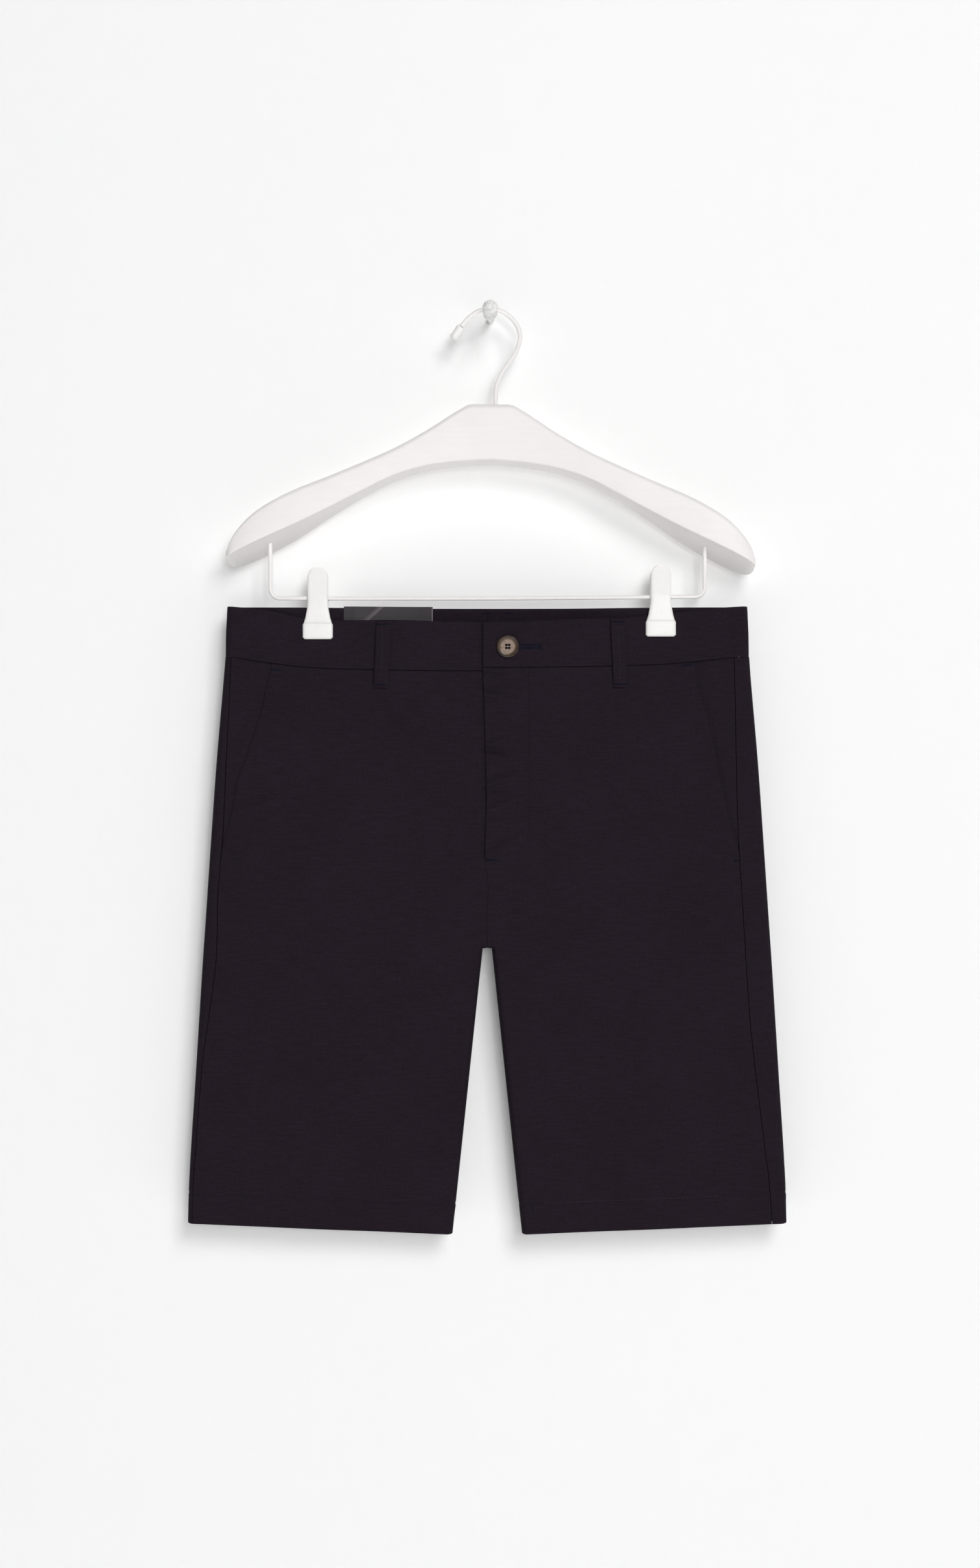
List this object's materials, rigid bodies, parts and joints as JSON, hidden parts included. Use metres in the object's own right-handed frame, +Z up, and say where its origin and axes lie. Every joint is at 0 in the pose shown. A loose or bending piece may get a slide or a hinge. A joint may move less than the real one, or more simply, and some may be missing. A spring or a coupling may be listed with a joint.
{
  "type": "bermuda shorts on a clip hanger",
  "caption": "Flat-hung cotton bermuda shorts with slant pockets, button waistband and belt loops, clipped to a white wooden hanger on a wall peg.",
  "frame": {"origin": "middle of the wall peg's back face, on the wall plane", "axes": "+Y into the wall, +Z up, +X towards the wearer's left; the front of the shorts faces -Y"},
  "size_m": [0.501, 0.0638, 0.7761],
  "materials": {
    "cotton": "very dark navy cotton twill with a soft brushed face, stitched in navy thread",
    "pocketing": "thin plain-woven dark pocket cotton",
    "satin": "blank dark grey woven satin label",
    "horn": "horn-effect button, dark grey-brown rim and golden-tan middle, satin polish",
    "zip": "dark zip tape and coil",
    "wood": "wood painted satin white",
    "wire": "steel wire coated white",
    "plastic": "white moulded plastic, satin",
    "peg": "white-grey painted peg, rubbed and speckled"
  },
  "bodies": {
    "root": {"front_right": "cotton", "front_left": "cotton", "back_right": "cotton", "back_left": "cotton", "waistband_right": "cotton", "waistband_left": "cotton", "fly_facing": "cotton", "fly_shield": "cotton", "pocket_facing_right": "cotton", "pocket_facing_left": "cotton", "pocket_bag_right": "pocketing", "pocket_bag_left": "pocketing", "belt_loop_front_right": "cotton", "belt_loop_front_left": "cotton", "belt_loop_back_right": "cotton", "belt_loop_back_left": "cotton", "belt_loop_centre_right": "cotton", "belt_loop_centre_left": "cotton", "inner_label": "satin", "waist_button": "horn", "zip_tape": "zip", "zip_chain": "zip", "zip_slider": "zip", "hanger_body": "wood", "hanger_hook": "wire", "clip_bar": "wire", "hook_tip": "plastic", "clip_left_back": "plastic", "clip_left_front": "plastic", "clip_right_back": "plastic", "clip_right_front": "plastic", "wall_peg": "peg"}
  },
  "joints": []
}
